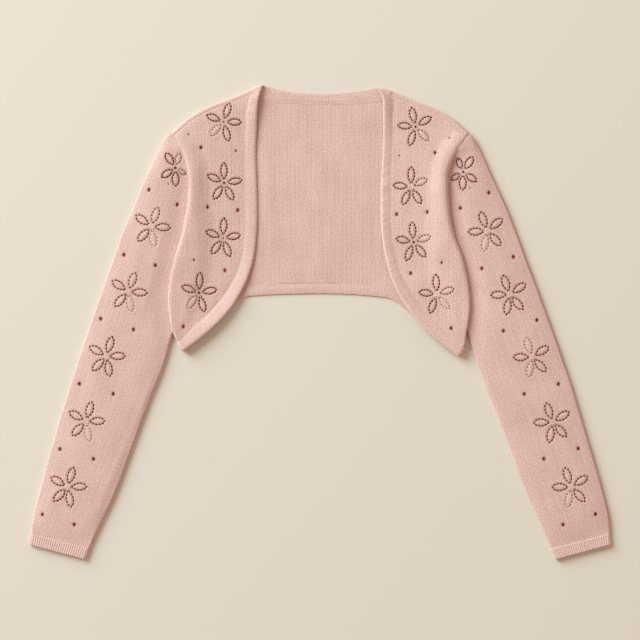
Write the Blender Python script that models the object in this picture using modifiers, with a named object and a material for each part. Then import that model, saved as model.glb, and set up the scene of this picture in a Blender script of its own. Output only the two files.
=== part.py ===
# Knitted shrug (bolero) lying flat, face up, on the XY plane.
#
# +X is the wearer's left, +Y points to the neck and +Z is up. The origin is under the middle of the
# garment. Sizes below are in millimetres. A side's own tables give "out", the distance from the
# centre line, and "up", the distance towards the neck, so that both sides read alike.
import math

import bmesh
import bpy
from mathutils import Vector

MM = 0.001

# Cloth and layers
WALL = 1.8                # fine knit of the panels
BAND_WALL = 2.0           # firmer knit of the edgings and cuffs
GAP = 0.4                 # clearance at a seam and between two layers
SLEEVE_HEIGHT = 5.6       # a sleeve lying flat, both layers and the air between them
SHOULDER_WRAP = 6.5       # how far the back comes over the shoulder fold to the seam
ARMHOLE_PASS = 4.0        # how far past the side seam a front reaches the fold's height
ROLL_WIDTH = 13.0         # from the crest of a front's soft roll to its fold
UNDERARM_FLAT = 1.0       # flat strip beside the side seam
UNDERARM_DROP = 4.5       # and the length over which the tucked return comes down to it
CUFF_RIBS = 25            # ribs across the top of a cuff
RIB_RELIEF = 0.55         # height of a cuff rib

FLOOR_Z = WALL / 2
CURL_GAP = 0.8            # between a sleeve's curled edge and the flat layer under it
UNDERARM_ROW = 13         # twice the row at which the tucked return starts to fall

SIDES = {"right": -1, "left": 1}
KNIT_COLOUR = (0.71, 0.45, 0.40, 1.0)
BAND_COLOUR = (0.66, 0.41, 0.35, 1.0)

# Front and its band, from the shoulder seam to the lower tip: the band's free edge, the seam between
# band and front, the fold at the armhole and side, and the side seam that the fold tucks back to.
FRONT_HEADS = ("free_out", "free_up", "seam_out", "seam_up", "fold_out", "fold_up", "side_out", "side_up")
FRONT_ROWS = {
    "right": (
        (77, 308, 90, 300, 193, 244, 187, 243),
        (81, 295, 94, 288, 188, 236, 180, 234),
        (83, 279, 97, 273, 180, 219, 170, 224),
        (84, 253, 98, 250, 174, 196, 162, 201),
        (85, 224, 98, 226, 173, 175, 161, 179),
        (84, 189, 98, 193, 176, 145, 157, 153),
        (83, 151, 98, 158, 183, 112, 151, 127),
        (84, 117, 98, 123, 190, 88, 148, 103),
        (88, 84, 101, 89, 196, 63, 151, 75),
        (98, 52, 111, 59, 200, 35, 158, 46),
        (117, 19, 129, 30, 199, 11, 166, 20),
        (144, -10, 154, 3, 195, -11, 174, -4),
        (179, -38, 184, -24, 189, -26, 180, -24),
    ),
    "left": (
        (81, 306, 94, 298, 193, 243, 187, 242),
        (83, 294, 96, 287, 187, 235, 182, 233),
        (84, 277, 95, 271, 178, 220, 172, 224),
        (84, 248, 95, 248, 170, 197, 165, 200),
        (83, 216, 94, 224, 169, 175, 163, 179),
        (81, 182, 92, 189, 171, 145, 159, 152),
        (81, 147, 92, 155, 177, 113, 153, 125),
        (82, 116, 93, 121, 186, 89, 150, 102),
        (87, 84, 98, 89, 193, 63, 152, 75),
        (98, 48, 109, 56, 197, 36, 159, 45),
        (117, 15, 129, 26, 197, 11, 167, 18),
        (145, -16, 155, -3, 193, -14, 176, -9),
        (181, -45, 187, -31, 192, -33, 183, -31),
    ),
}

# Heights of the middle of the cloth for the same rows: at the free edge, at the band's seam and on
# the fold, then the fold's radius. A soft roll stands above the fold by the crest, and the cloth
# starts to climb at the rise before the side seam.
HEIGHT_HEADS = ("edge_z", "seam_z", "fold_z", "fold_r", "crest", "rise")
HEIGHT_ROWS = (
    (5.4, 4.4, 8.0, 1.2, 0.0, 14),
    (5.6, 4.6, 8.9, 1.3, 0.8, 15),
    (5.0, 4.2, 9.8, 1.4, 2.0, 18),
    (3.8, 3.5, 10.4, 1.7, 2.8, 22),
    (3.4, 3.3, 10.6, 1.8, 3.0, 24),
    (3.4, 3.3, 10.6, 1.8, 3.0, 22),
    (3.4, 3.3, 10.6, 1.8, 2.6, 18),
    (3.4, 3.3, 10.6, 1.8, 2.0, 15),
    (3.7, 3.4, 10.4, 1.7, 1.4, 14),
    (4.4, 3.8, 10.4, 1.7, 0.8, 14),
    (5.2, 4.3, 10.2, 1.6, 0.4, 14),
    (5.8, 5.2, 9.6, 1.3, 0.0, 14),
    (6.0, 6.0, 6.2, 2.6, 0.0, 14),
)

# Shoulder seam: how far it bows out from a straight line, at fractions from armhole to neck
SHOULDER_BOW = ((0.0, 0.0), (0.25, 6.3), (0.5, 6.6), (0.75, 2.8), (1.0, 0.0))
BOW_END_ROW = 2.5         # row of the front at which its cloth is straight again
SHOULDER_TIP = (192, 246.5)

# Sleeve: outer fold and inner fold of each row. The first rows share the armhole with the front,
# row for row, so their inner points come from the front's side seam.
SLEEVE_HEADS = ("outer_out", "outer_up", "inner_out", "inner_up")
CAP_OUTER = {
    "right": ((199.5, 248.5), (207, 239), (217, 220), (226, 199), (237, 173), (247, 148), (256, 127)),
    "left": ((199.5, 247.5), (206, 237), (214, 220), (224, 197), (236, 171), (247, 147), (255, 126)),
}
SLEEVE_ROWS = {
    "right": (
        (263, 110, 157, 100),
        (271, 88, 163, 70),
        (281, 60, 174, 32),
        (297, 15, 192.5, -13),
        (314, -35, 207, -60),
        (331, -88, 227, -110),
        (348, -143, 247, -164),
        (364, -201, 269, -224),
        (378, -255, 293, -275),
        (381.5, -279.5, 303.5, -299.5),
    ),
    "left": (
        (262, 108, 159, 98),
        (270, 86, 165, 67),
        (280, 60, 176, 29),
        (297, 14, 193.5, -14),
        (315, -36, 209, -61),
        (333, -89, 228, -112),
        (350, -146, 249, -167),
        (367, -203, 271, -225),
        (380, -254, 294, -276),
        (382.5, -279.5, 304, -299.5),
    ),
}
CAP_ROWS = 6
SHOULDER_CLEAR = 1.5      # the cap's first row stands this far off the back's corner
CAP_HEIGHTS = (3.9, 4.8, 5.5, 5.6)   # sleeve height at the first rows, where it flattens to the shoulder
CUFF_END = {"right": (384, -293.5, 309, -313.5), "left": (384, -293.5, 310, -313.5)}

# Back neck edging, from the wearer's right shoulder fold to the left one: free edge, then seam
NECK_HEADS = ("free_x", "free_y", "seam_x", "seam_y")
NECK_ROWS = (
    (-77.5, 309.6, -90.8, 301.6),
    (-73.5, 309.6, -85.0, 296.0),
    (-67.0, 309.0, -75.0, 291.3),
    (-58.0, 307.3, -61.0, 289.5),
    (-37.0, 303.0, -37.5, 288.2),
    (0.0, 300.5, 0.0, 286.6),
    (37.0, 302.4, 38.0, 287.2),
    (60.5, 305.7, 64.0, 288.8),
    (70.0, 308.2, 79.0, 290.3),
    (77.0, 308.4, 89.5, 294.5),
    (81.5, 307.6, 94.8, 299.6),
)

# Back hem edging from tip to tip: seam, then free edge
HEM_HEADS = ("seam_x", "seam_y", "free_x", "free_y")
HEM_ROWS = (
    (-178.3, -21.5, -171.5, -32.5),
    (-159.0, -4.0, -151.0, -13.0),
    (-139.5, 17.5, -130.5, 7.0),
    (-120.5, 35.0, -111.5, 26.0),
    (-104.0, 43.5, -99.5, 32.3),
    (-84.5, 47.0, -83.5, 34.7),
    (-52.8, 48.2, -52.8, 36.3),
    (0.0, 48.8, 0.0, 37.4),
    (39.6, 48.2, 39.6, 36.3),
    (76.6, 46.5, 76.6, 33.3),
    (97.0, 42.5, 92.0, 30.5),
    (117.0, 30.5, 106.5, 22.0),
    (137.0, 12.5, 126.0, 4.0),
    (160.0, -9.5, 151.0, -18.5),
    (181.3, -28.5, 174.5, -39.5),
)

# Single eyelets: centre of each hole in a front and in a sleeve's upper side
EYELET_WIDTH = 4.2
EYELET_LENGTH = 5.4
FRONT_EYELETS = {
    "right": ((156, 229), (111, 224), (148, 150), (108, 146), (165, 81), (125, 67), (179, -7)),
    "left": ((151, 222), (105, 219), (141, 144), (101, 141), (160, 77), (119, 63), (173, -9)),
}
SLEEVE_EYELETS = {
    "right": (
        (225, 173), (188, 154), (258, 88), (216, 74), (289, 4), (245, -11),
        (317, -82), (272, -96), (343, -168), (298, -181), (365, -254), (323, -267),
    ),
    "left": (
        (223, 169), (185, 149), (255, 85), (213, 70), (286, 2), (242, -12),
        (314, -82), (269, -95), (340, -167), (295, -181), (363, -254), (320, -268),
    ),
}

# How pieces end next to each other
WRAP_GAP = 0.7            # the back's wrap stops this far from the front's first row
SHOULDER_FIRST = 0.02     # the wrap's two ends, as shares of the shoulder seam from the armhole
SHOULDER_LAST = 0.994
TIP_WRAP = 5.0            # how far a band's end rolls past its last row
TIP_CLEAR = 0.05          # share of a row that a front stops short of that roll
ROLL_TAIL = 1.0           # flat end of a band on the floor, past its roll
PIN_DEPTH = 2.4           # an eyelet's cutter starts this far below the middle of the cloth
PIN_LENGTH = 6.0
MERGE_DISTANCE = 0.00002   # in metres: closer points of one piece become one point
SHARP_ANGLE = 50          # degrees between faces that shade as an edge

# Mesh steps
ROW_STEPS = 2             # mesh rows for each row of a table
TOP_STEPS = 15            # across a front, from the band's seam to the fold
FOLD_STEPS = 4
RETURN_STOPS = (0.6, 0.16, 0.1, 0.03, 0.0)   # along the tucked return, as a share of its length
SLEEVE_STEPS = 6          # across a sleeve between its side folds
SHOULDER_STEPS = 6
NECK_STEPS = 10
UNDER_CUFF_STEPS = 6


def smoothstep(x):
    x = min(max(x, 0.0), 1.0)
    return x * x * (3.0 - 2.0 * x)


def blend(a, b, t):
    return a + (b - a) * t


def row_at(rows, t):
    """One row of a table at the fractional row t, on a smooth curve through the rows."""
    last = len(rows) - 1
    i = min(int(t), last - 1)
    f = t - i
    before = rows[max(i - 1, 0)]
    start = rows[i]
    end = rows[i + 1]
    after = rows[min(i + 2, last)]
    values = []
    for p0, p1, p2, p3 in zip(before, start, end, after):
        bend = 2 * p0 - 5 * p1 + 4 * p2 - p3
        twist = 3 * (p1 - p2) + p3 - p0
        values.append(p1 + 0.5 * f * (p2 - p0 + f * (bend + f * twist)))
    return values


def table_at(heads, rows, t):
    return dict(zip(heads, row_at(rows, t)))


def stations(rows, steps=ROW_STEPS):
    return [i / steps for i in range((len(rows) - 1) * steps + 1)]


def armhole_at(side, t):
    """Line where the back meets the sleeve and, below the underarm, the tucked front."""
    rows = [SHOULDER_TIP]
    rows += [row[6:8] for row in FRONT_ROWS[side][1:]]
    return row_at(rows, t)


def sleeve_rows(side):
    rows = []
    for i, outer in enumerate(CAP_OUTER[side]):
        inner = armhole_at(side, i)
        rows.append((*outer, inner[0] + GAP / 2, inner[1]))
    return rows + list(SLEEVE_ROWS[side])


def shoulder_seam(side, u):
    """Plan point of the shoulder seam, u from the armhole (0) to the band (1)."""
    row = dict(zip(FRONT_HEADS, FRONT_ROWS[side][0]))
    outer = Vector((row["fold_out"], row["fold_up"]))
    inner = Vector((row["seam_out"], row["seam_up"]))
    point = outer.lerp(inner, u)
    return point + shoulder_normal(side) * bow_at(u)


def shoulder_normal(side):
    row = dict(zip(FRONT_HEADS, FRONT_ROWS[side][0]))
    along = Vector((row["fold_out"] - row["seam_out"], row["fold_up"] - row["seam_up"])).normalized()
    return Vector((-along.y, along.x))


def bow_at(u):
    spot = u * (len(SHOULDER_BOW) - 1)
    return row_at(SHOULDER_BOW, min(spot, len(SHOULDER_BOW) - 1))[1]


# ---------------------------------------------------------------- mesh helpers

def add_grid(bm, columns, rows, place):
    """A grid whose point (i, j) is moved to place(i, j), in millimetres."""
    made = bmesh.ops.create_grid(bm, x_segments=columns - 1, y_segments=rows - 1, size=1.0)
    for vert in made["verts"]:
        i = round((vert.co.x + 1) / 2 * (columns - 1))
        j = round((vert.co.y + 1) / 2 * (rows - 1))
        vert.co = Vector(place(i, j)) * MM
    return made["verts"]


def material_for(name, colour):
    material = bpy.data.materials.new(name + "_knit")
    material.use_nodes = True
    shader = material.node_tree.nodes["Principled BSDF"]
    shader.inputs["Base Color"].default_value = colour
    shader.inputs["Roughness"].default_value = 0.9
    shader.inputs["Metallic"].default_value = 0.0
    return material


def add_object(bm, name, colour, parts):
    mesh = bpy.data.meshes.new(name)
    bm.to_mesh(mesh)
    bm.free()
    mesh.shade_smooth()
    mesh.set_sharp_from_angle(angle=math.radians(SHARP_ANGLE))
    mesh.materials.append(material_for(name, colour))
    piece = bpy.data.objects.new(name, mesh)
    parts.objects.link(piece)
    return piece


def sheet(name, grids, colour, wall, parts):
    """Open surface from one or more grids that share an edge, made a wall of even thickness."""
    bm = bmesh.new()
    for columns, rows, place in grids:
        add_grid(bm, columns, rows, place)
    bmesh.ops.remove_doubles(bm, verts=bm.verts, dist=MERGE_DISTANCE)
    bmesh.ops.recalc_face_normals(bm, faces=bm.faces)
    piece = add_object(bm, name, colour, parts)
    solidify = piece.modifiers.new("wall", "SOLIDIFY")
    solidify.thickness = wall * MM
    solidify.offset = 0.0
    solidify.use_even_offset = True
    solidify.use_quality_normals = True
    return piece


def height_near(rows, out, up):
    """Height of the mesh point nearest to a plan point."""
    points = [point for row in rows for point in row]
    nearest = min(points, key=lambda point: (point[0] - out) ** 2 + (point[1] - up) ** 2)
    return nearest[2]


def cut_eyelets(piece, sign, centres, rows, tools):
    """Holes through one layer of the piece, from one cutter of eight-sided pins."""
    bm = bmesh.new()
    for out, up in centres:
        top = height_near(rows, out, up)
        pin = bmesh.ops.create_cone(bm, cap_ends=True, segments=8, radius1=0.5, radius2=0.5, depth=1.0)
        for vert in pin["verts"]:
            x = sign * out + vert.co.x * EYELET_WIDTH
            y = up + vert.co.y * EYELET_LENGTH
            z = top + (vert.co.z + 0.5) * PIN_LENGTH - PIN_DEPTH
            vert.co = Vector((x, y, z)) * MM
    mesh = bpy.data.meshes.new(piece.name + "_eyelets")
    bm.to_mesh(mesh)
    bm.free()
    cutter = bpy.data.objects.new(piece.name + "_eyelets", mesh)
    cutter.hide_render = True
    cutter.display_type = "WIRE"
    tools.objects.link(cutter)
    cut = piece.modifiers.new("eyelets", "BOOLEAN")
    cut.operation = "DIFFERENCE"
    cut.solver = "EXACT"
    cut.object = cutter


# ---------------------------------------------------------------- fronts and their bands

def front_section(side, t):
    """Points of a front across row t: over the top, round the fold and back to the side seam."""
    row = table_at(FRONT_HEADS, FRONT_ROWS[side], t)
    height = table_at(HEIGHT_HEADS, HEIGHT_ROWS, t)
    drop = smoothstep(2 * t - UNDERARM_ROW)
    start = Vector((row["seam_out"], row["seam_up"]))
    fold = Vector((row["fold_out"], row["fold_up"]))
    end = Vector((row["side_out"], row["side_up"]))
    across = (fold - start).normalized()
    start += across * GAP / 2
    width = (fold - start).length
    radius = height["fold_r"]
    flat = width - WALL / 2 - radius
    seam_at = (end - start).dot(across)
    rise_from = seam_at - height["rise"]
    rise_to = min(seam_at + ARMHOLE_PASS, flat)
    crest_at = max(flat - ROLL_WIDTH, flat / 2)
    points = []
    for k in range(TOP_STEPS + 1):
        a = flat * k / TOP_STEPS
        climb = smoothstep((a - rise_from) / max(rise_to - rise_from, 1.0))
        roll = min((a - rise_from) / max(crest_at - rise_from, 1.0), (flat - a) / (flat - crest_at))
        z = blend(height["seam_z"], height["fold_z"], climb) + height["crest"] * smoothstep(roll)
        shift = shoulder_normal(side) * bow_at(1 - a / width) * smoothstep(1 - t / BOW_END_ROW)
        points.append((*(start + across * a + shift), z))
    for k in range(1, FOLD_STEPS + 1):
        angle = math.pi * k / FOLD_STEPS
        a = flat + radius * math.sin(angle)
        z = height["fold_z"] - radius + radius * math.cos(angle)
        points.append((*(start + across * a), z))
    under_z = height["fold_z"] - 2 * radius
    begin = start + across * flat
    length = (begin - end).length
    for stop in RETURN_STOPS:
        fall = drop * (1 - smoothstep((length * stop - UNDERARM_FLAT) / UNDERARM_DROP))
        z = blend(under_z, FLOOR_Z, fall)
        points.append((*end.lerp(begin, stop), z))
    return points


def make_front(side, parts, tools):
    sign = SIDES[side]
    stops = stations(HEIGHT_ROWS)
    stops[-1] -= TIP_CLEAR
    rows = [front_section(side, t) for t in stops]

    def place(i, j):
        out, up, z = rows[j][i]
        return (sign * out, up, z)

    piece = sheet("front_" + side, [(len(rows[0]), len(rows), place)], KNIT_COLOUR, WALL, parts)
    top_rows = [row[:TOP_STEPS + 1] for row in rows]
    cut_eyelets(piece, sign, FRONT_EYELETS[side], top_rows, tools)


def band_rows(side):
    """Rows of a front band: round the shoulder fold, down the front and round the lower tip."""
    rows = []
    for t in stations(HEIGHT_ROWS):
        row = table_at(FRONT_HEADS, FRONT_ROWS[side], t)
        height = table_at(HEIGHT_HEADS, HEIGHT_ROWS, t)
        free = Vector((row["free_out"], row["free_up"]))
        seam = Vector((row["seam_out"], row["seam_up"]))
        across = (free - seam).normalized()
        seam += across * GAP / 2
        rows.append(((seam, height["seam_z"]), (free, height["edge_z"])))
    top = [roll_row(rows[0], shoulder_normal(side), SHOULDER_WRAP, k) for k in range(FOLD_STEPS + 2)]
    tip_out = tip_normal(side)
    tip = [roll_row(rows[-1], tip_out, TIP_WRAP, k) for k in range(FOLD_STEPS + 2)]
    return top[::-1] + rows + tip


def tip_normal(side):
    row = dict(zip(FRONT_HEADS, FRONT_ROWS[side][-1]))
    along = Vector((row["seam_out"] - row["free_out"], row["seam_up"] - row["free_up"])).normalized()
    return Vector((along.y, -along.x))


def roll_row(row, outward, reach, k):
    """Row k of the roll that carries a band's end over a fold and down to the floor."""
    floor_z = BAND_WALL / 2
    rolled = []
    for point, z in row:
        radius = (z - floor_z) / 2
        run = reach - radius - BAND_WALL / 2
        if k <= FOLD_STEPS:
            angle = math.pi * k / FOLD_STEPS
            go = run + radius * math.sin(angle)
            height = z - radius + radius * math.cos(angle)
        else:
            go = run - ROLL_TAIL
            height = floor_z
        rolled.append((point + outward * go, height))
    return rolled


def make_band(side, parts):
    sign = SIDES[side]
    rows = band_rows(side)

    def place(i, j):
        (seam, seam_z), (free, edge_z) = rows[j]
        point = seam.lerp(free, i / 2)
        return (sign * point.x, point.y, blend(seam_z, edge_z, i / 2))

    sheet("band_" + side, [(3, len(rows), place)], BAND_COLOUR, BAND_WALL, parts)


# ---------------------------------------------------------------- sleeves and cuffs

def sleeve_height(t):
    if t >= len(CAP_HEIGHTS) - 1:
        return SLEEVE_HEIGHT
    return row_at([(h,) for h in CAP_HEIGHTS], t)[0]


def sleeve_section(side, t, rows, height):
    """Upper layer of a sleeve across row t: round the outer fold, over, round the inner fold."""
    row = table_at(SLEEVE_HEADS, rows, t)
    outer = Vector((row["outer_out"], row["outer_up"]))
    inner = Vector((row["inner_out"], row["inner_up"]))
    if t <= CAP_ROWS:
        inner = Vector(armhole_at(side, t)) + Vector((GAP / 2 + SHOULDER_CLEAR * max(1 - t, 0.0), 0.0))
    across = (inner - outer).normalized()
    width = (inner - outer).length
    closed = smoothstep(t - CAP_ROWS)
    radius = (height - WALL) / 2
    top = height - WALL / 2
    inset = radius + WALL / 2
    sections = []
    for k in range(FOLD_STEPS):
        angle = math.pi * (1 - k / FOLD_STEPS)
        sections.append((inset - radius * math.sin(angle), top - radius + radius * math.cos(angle)))
    reach_end = blend(inset, math.pi * radius, closed)
    bend = max(closed, 0.001) / radius
    for k in range(SLEEVE_STEPS + 1):
        f = k / SLEEVE_STEPS
        sections.append((blend(inset, width - inset, f), top))
    for k in range(1, FOLD_STEPS + 1):
        s = reach_end * k / FOLD_STEPS
        a = width - inset + math.sin(bend * s) / bend
        sections.append((a, top - (1 - math.cos(bend * s)) / bend))
    points = []
    for a, z in sections:
        points.append((*(outer + across * a), z))
    return points, inset, width, closed, outer, across


def sleeve_stations(rows):
    """Half rows as far as the underarm, then whole rows down to the cuff."""
    fine = [i / ROW_STEPS for i in range((CAP_ROWS + 2) * ROW_STEPS)]
    return fine + list(range(CAP_ROWS + 2, len(rows)))


def make_sleeve(side, parts, tools):
    sign = SIDES[side]
    rows = sleeve_rows(side)
    upper = []
    under = []
    for t in sleeve_stations(rows):
        height = sleeve_height(t)
        points, inset, width, closed, outer, across = sleeve_section(side, t, rows, height)
        upper.append(points)
        first = inset + CURL_GAP
        last = width - (inset + CURL_GAP) * closed
        under.append([outer + across * blend(first, last, k / 2) for k in range(3)])

    def place_upper(i, j):
        out, up, z = upper[j][i]
        return (sign * out, up, z)

    def place_under(i, j):
        point = under[j][i]
        return (sign * point.x, point.y, FLOOR_Z)

    name = "sleeve_" + side
    columns = len(upper[0])
    piece = sheet(name + "_upper", [(columns, len(upper), place_upper)], KNIT_COLOUR, WALL, parts)
    flats = [row[FOLD_STEPS:FOLD_STEPS + SLEEVE_STEPS + 1] for row in upper]
    cut_eyelets(piece, sign, SLEEVE_EYELETS[side], flats, tools)
    sheet(name + "_under", [(3, len(under), place_under)], KNIT_COLOUR, WALL, parts)


def cuff_ring(width, height, wall, ribs, outside):
    """Ring of (distance across, height) points; the outside one is ribbed along its top."""
    inset = 0.0 if outside else wall
    radius = height / 2 - inset
    middle = height / 2
    ring = []
    for k in range(ribs * 2 + 1):
        a = blend(height / 2, width - height / 2, k / (ribs * 2))
        rib = RIB_RELIEF * (k % 2) if outside else 0.0
        ring.append((a, height - inset + rib))
    for k in range(1, FOLD_STEPS):
        angle = math.pi * k / FOLD_STEPS
        ring.append((width - height / 2 + radius * math.sin(angle), middle + radius * math.cos(angle)))
    for k in range(UNDER_CUFF_STEPS + 1):
        a = blend(width - height / 2, height / 2, k / UNDER_CUFF_STEPS)
        ring.append((a, inset))
    for k in range(1, FOLD_STEPS):
        angle = math.pi * (1 + k / FOLD_STEPS)
        ring.append((height / 2 + radius * math.sin(angle), middle + radius * math.cos(angle)))
    return ring


def make_cuff(side, parts):
    """Closed ribbed ring past the sleeve's end."""
    sign = SIDES[side]
    start_row = dict(zip(SLEEVE_HEADS, SLEEVE_ROWS[side][-1]))
    end_row = dict(zip(SLEEVE_HEADS, CUFF_END[side]))
    loops = []
    for row, shift in ((start_row, GAP), (end_row, 0.0)):
        outer = Vector((row["outer_out"], row["outer_up"]))
        inner = Vector((row["inner_out"], row["inner_up"]))
        across = (inner - outer).normalized()
        down = Vector((across.y, -across.x)) * shift
        if down.y > 0:
            down = -down
        width = (inner - outer).length
        for outside in (True, False):
            ring = cuff_ring(width, SLEEVE_HEIGHT, BAND_WALL, CUFF_RIBS, outside)
            loop = []
            for a, z in ring:
                point = outer + across * a + down
                loop.append((sign * point.x, point.y, z))
            loops.append(loop)
    start_out, start_in, end_out, end_in = loops
    around = [start_out, end_out, end_in, start_in, start_out]
    count = len(start_out)

    def place(i, j):
        return around[j][i % count]

    bm = bmesh.new()
    add_grid(bm, count + 1, len(around), place)
    bmesh.ops.remove_doubles(bm, verts=bm.verts, dist=MERGE_DISTANCE)
    bmesh.ops.recalc_face_normals(bm, faces=bm.faces)
    add_object(bm, "cuff_" + side, BAND_COLOUR, parts)


# ---------------------------------------------------------------- back and its edgings

def shoulder_row(side, u, k):
    """Point k of the back's wrap over the shoulder fold, from the floor to the shoulder seam."""
    seam = shoulder_seam(side, u)
    outward = shoulder_normal(side)
    top = front_height_at_seam(side, u)
    radius = (top - FLOOR_Z) / 2
    run = SHOULDER_WRAP - radius - WALL / 2
    if k <= FOLD_STEPS:
        angle = math.pi * (1 - k / FOLD_STEPS)
        go = run + radius * math.sin(angle)
        z = top - radius + radius * math.cos(angle)
    else:
        go = WRAP_GAP
        z = top
    point = seam + outward * go
    return (SIDES[side] * point.x, point.y, z)


def front_height_at_seam(side, u):
    """Height of the front along its first row, u from the armhole to the band."""
    points = front_section(side, 0.0)[:TOP_STEPS + 1]
    spot = (1 - u) * TOP_STEPS
    i = min(int(spot), TOP_STEPS - 1)
    return blend(points[i][2], points[i + 1][2], spot - i)


def back_top(k):
    """Top edge of the flat back: right shoulder, neck, left shoulder."""
    if k <= SHOULDER_STEPS:
        u = blend(SHOULDER_FIRST, SHOULDER_LAST, k / SHOULDER_STEPS)
        return Vector(shoulder_row("right", u, 0)[:2])
    k -= SHOULDER_STEPS
    if k < NECK_STEPS:
        row = table_at(NECK_HEADS, NECK_ROWS, k * (len(NECK_ROWS) - 1) / NECK_STEPS)
        seam = Vector((row["seam_x"], row["seam_y"]))
        free = Vector((row["free_x"], row["free_y"]))
        return seam + (seam - free).normalized() * GAP
    k -= NECK_STEPS
    u = blend(SHOULDER_LAST, SHOULDER_FIRST, k / SHOULDER_STEPS)
    return Vector(shoulder_row("left", u, 0)[:2])


def back_bottom(u):
    row = table_at(HEM_HEADS, HEM_ROWS, u * (len(HEM_ROWS) - 1))
    seam = Vector((row["seam_x"], row["seam_y"]))
    free = Vector((row["free_x"], row["free_y"]))
    return seam + (seam - free).normalized() * GAP


def make_back(parts):
    """Flat patch between armholes, hem and neck, with a roll over each shoulder."""
    columns = 2 * SHOULDER_STEPS + NECK_STEPS + 1
    downs = stations(HEIGHT_ROWS)
    top = [back_top(k) for k in range(columns)]
    bottom = [back_bottom(k / (columns - 1)) for k in range(columns)]
    left_edge = []
    right_edge = []
    for t in downs:
        out, up = armhole_at("right", t)
        left_edge.append(Vector((GAP / 2 - out, up)))
        out, up = armhole_at("left", t)
        right_edge.append(Vector((out - GAP / 2, up)))
    left_edge[0] = top[0]
    right_edge[0] = top[-1]
    left_edge[-1] = bottom[0]
    right_edge[-1] = bottom[-1]

    def place(i, j):
        u = i / (columns - 1)
        v = j / (len(downs) - 1)
        along = top[i].lerp(bottom[i], v) + left_edge[j].lerp(right_edge[j], u)
        corners = top[0].lerp(bottom[0], v).lerp(top[-1].lerp(bottom[-1], v), u)
        point = along - corners
        return (point.x, point.y, FLOOR_Z)

    def place_shoulder(side):
        def place_roll(i, j):
            u = blend(SHOULDER_FIRST, SHOULDER_LAST, i / SHOULDER_STEPS)
            return shoulder_row(side, u, j)
        return place_roll

    grids = [(columns, len(downs), place)]
    for side in SIDES:
        grids.append((SHOULDER_STEPS + 1, FOLD_STEPS + 2, place_shoulder(side)))
    sheet("back_panel", grids, KNIT_COLOUR, WALL, parts)


def make_edging(name, rows, steps, parts):
    """Edging that lies flat on the floor, from rows of two points."""
    stops = stations(rows, steps)

    def place(i, j):
        row = row_at(rows, stops[j])
        start = Vector(row[0:2])
        end = Vector(row[2:4])
        point = start.lerp(end, i / 2)
        return (point.x, point.y, BAND_WALL / 2)

    sheet(name, [(3, len(stops), place)], BAND_COLOUR, BAND_WALL, parts)


# ---------------------------------------------------------------- garment

def main():
    for old in list(bpy.data.objects):
        bpy.data.objects.remove(old, do_unlink=True)
    parts = bpy.data.collections.new("knitted_shrug")
    tools = bpy.data.collections.new("cutters")
    bpy.context.scene.collection.children.link(parts)
    bpy.context.scene.collection.children.link(tools)
    make_back(parts)
    make_edging("band_neck", NECK_ROWS, 1, parts)
    make_edging("band_hem", HEM_ROWS, ROW_STEPS, parts)
    for side in SIDES:
        make_front(side, parts, tools)
        make_band(side, parts)
        make_sleeve(side, parts, tools)
        make_cuff(side, parts)


main()
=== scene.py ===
from functools import partial
from math import atan2, cos, exp, hypot, pi, radians, sin, sqrt

import bmesh
import bpy
from mathutils import Matrix, Vector, kdtree, noise


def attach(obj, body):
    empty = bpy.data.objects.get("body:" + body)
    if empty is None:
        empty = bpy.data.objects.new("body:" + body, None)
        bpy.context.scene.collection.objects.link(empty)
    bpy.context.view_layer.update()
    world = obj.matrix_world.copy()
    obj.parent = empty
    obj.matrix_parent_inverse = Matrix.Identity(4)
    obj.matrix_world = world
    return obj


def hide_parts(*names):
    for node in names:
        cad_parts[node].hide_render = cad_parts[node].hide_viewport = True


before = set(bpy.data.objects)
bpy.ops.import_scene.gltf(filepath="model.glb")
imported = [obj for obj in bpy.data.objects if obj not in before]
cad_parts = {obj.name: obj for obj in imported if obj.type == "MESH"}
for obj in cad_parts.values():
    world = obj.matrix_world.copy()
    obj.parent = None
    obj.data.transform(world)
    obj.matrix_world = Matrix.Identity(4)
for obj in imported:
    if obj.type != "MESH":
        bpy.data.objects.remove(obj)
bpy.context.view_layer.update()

# Sizes are in millimetres until a point goes into a mesh. "out" is the distance from the centre
# line and "up" the distance towards the neck. The wearer's right is on -X.
mm = 0.001
sideSign = {"right": -1, "left": 1}

cloth = {
    "panelWall": 1.8,       # walls of the solids that the cloth follows
    "bandWall": 2.0,
    "shell": 1.3,           # thickness of the knitted shells made here
    "bandShell": 1.4,
    "gap": -0.2,            # between two pieces at a seam: their edges just overlap
    "floor": 0.9,           # middle of the cloth that lies on the ground
}


def smoothStep(x):
    x = min(max(x, 0.0), 1.0)
    return x * x * (3.0 - 2.0 * x)


def blend(a, b, t):
    return a + (b - a) * t


def rowAt(rows, t):
    # one row of a table at the fractional row t, on a smooth curve through the rows
    last = len(rows) - 1
    i = min(int(t), last - 1)
    f = t - i
    before, start, end, after = rows[max(i - 1, 0)], rows[i], rows[i + 1], rows[min(i + 2, last)]
    values = []
    for p0, p1, p2, p3 in zip(before, start, end, after):
        bend = 2 * p0 - 5 * p1 + 4 * p2 - p3
        twist = 3 * (p1 - p2) + p3 - p0
        values.append(p1 + 0.5 * f * (p2 - p0 + f * (bend + f * twist)))
    return values


def tableAt(heads, rows, t):
    return dict(zip(heads, rowAt(rows, t)))


def pointIn(row, name):
    return Vector((row[name + "Out"], row[name + "Up"]))


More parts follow.
